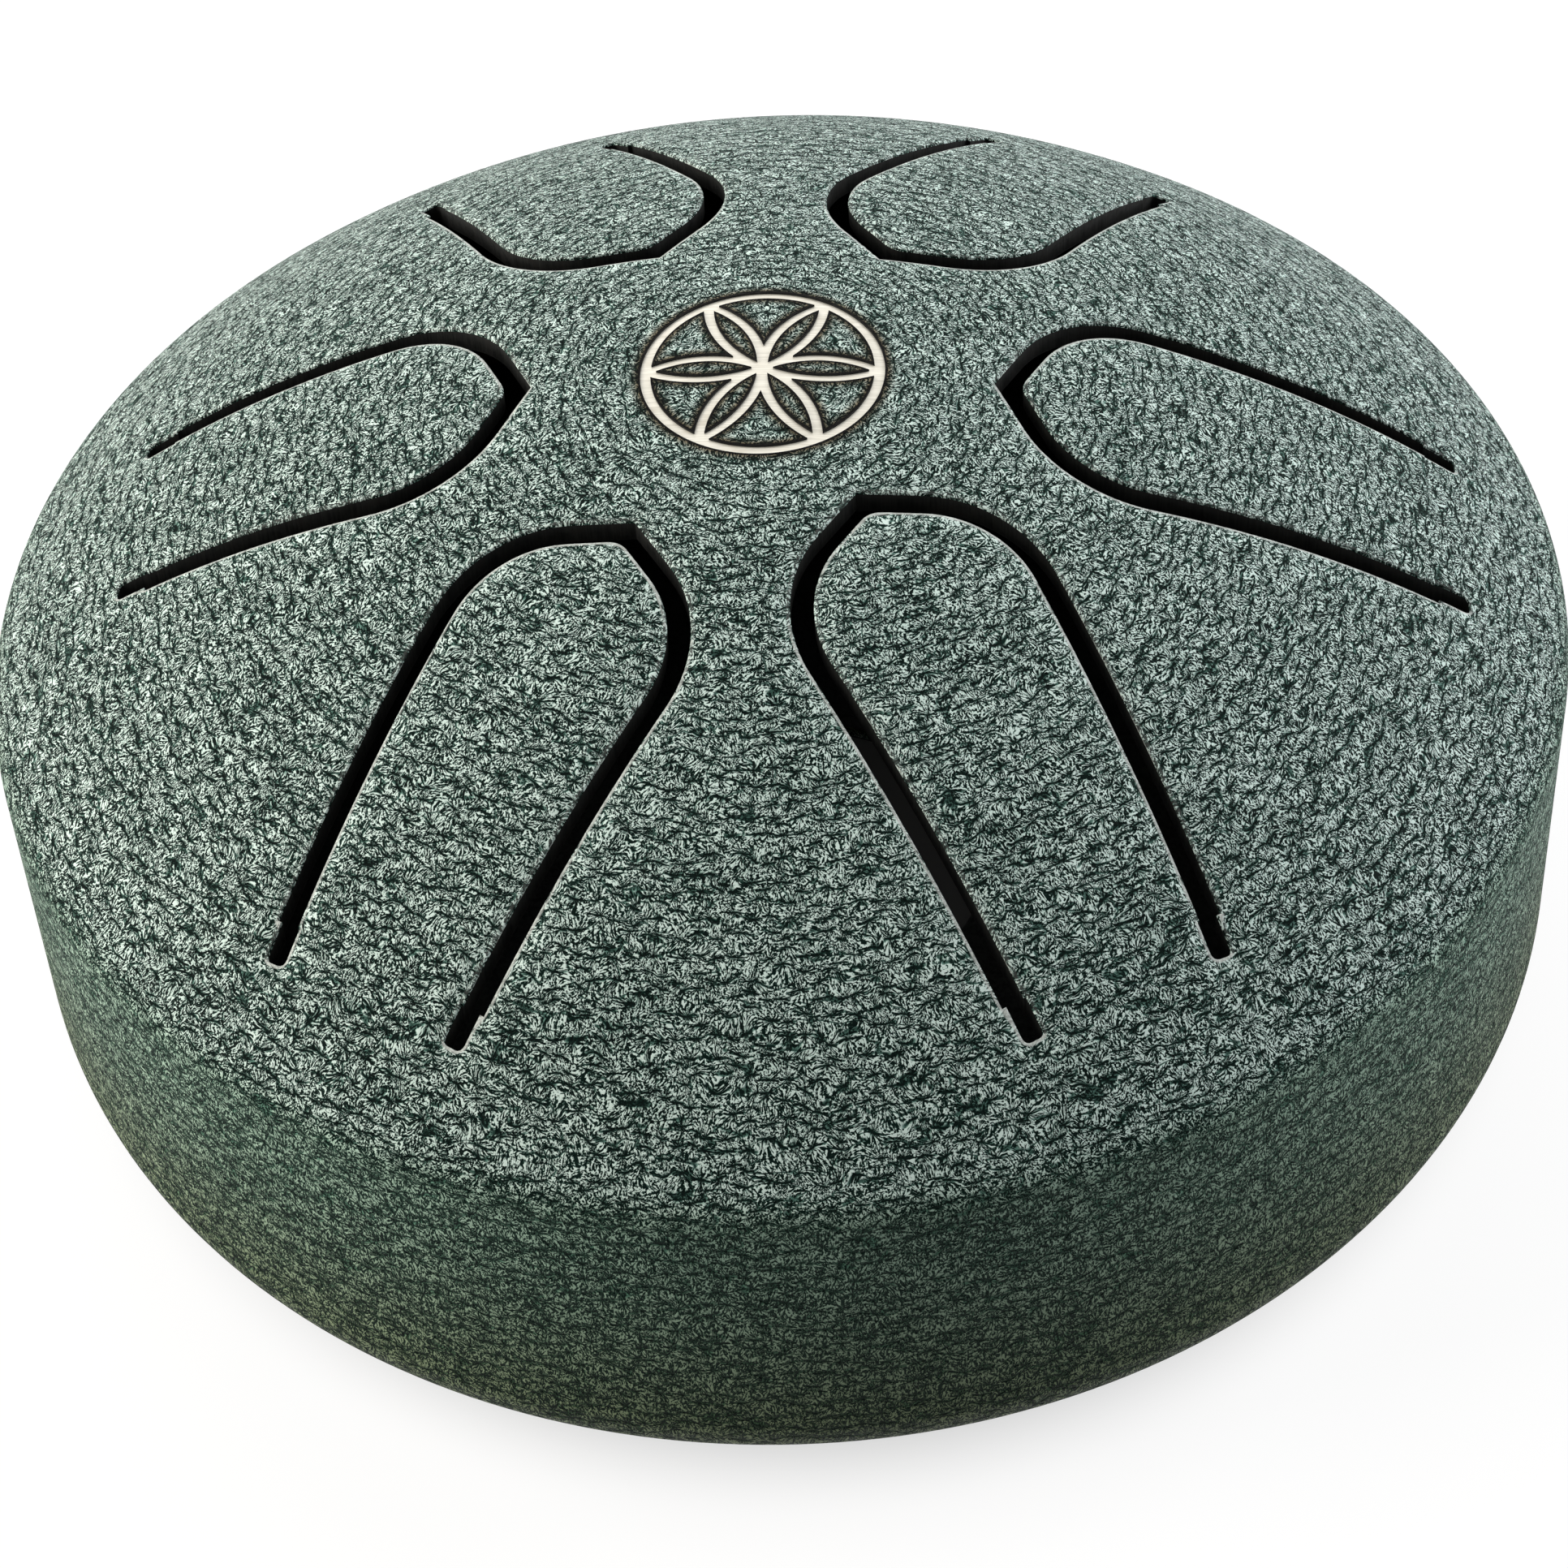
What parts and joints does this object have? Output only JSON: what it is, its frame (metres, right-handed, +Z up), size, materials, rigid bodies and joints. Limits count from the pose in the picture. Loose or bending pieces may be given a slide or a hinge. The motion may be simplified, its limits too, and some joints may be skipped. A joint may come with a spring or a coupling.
{
  "type": "steel tongue drum",
  "caption": "Small domed steel tongue drum: slots cut free radial tongues round an engraved rosette; welded shell and pan with a sound port, on rubber feet.",
  "frame": {"origin": "on the floor under the centre of the round body, in the plane of the feet", "axes": "+Z up along the drum's axis, +X along one tongue, +Y to the back"},
  "size_m": [0.076, 0.076, 0.0374],
  "materials": {
    "shell_coat": "leather-grain powder coat",
    "weld_coat": "leather-grain powder coat over the ground weld",
    "foot_rubber": "matt moulded"
  },
  "bodies": {
    "root": {"top_shell": "shell_coat", "bottom_pan": "shell_coat", "seam_weld": "weld_coat", "foot_1": "foot_rubber", "foot_2": "foot_rubber", "foot_3": "foot_rubber"}
  },
  "joints": []
}
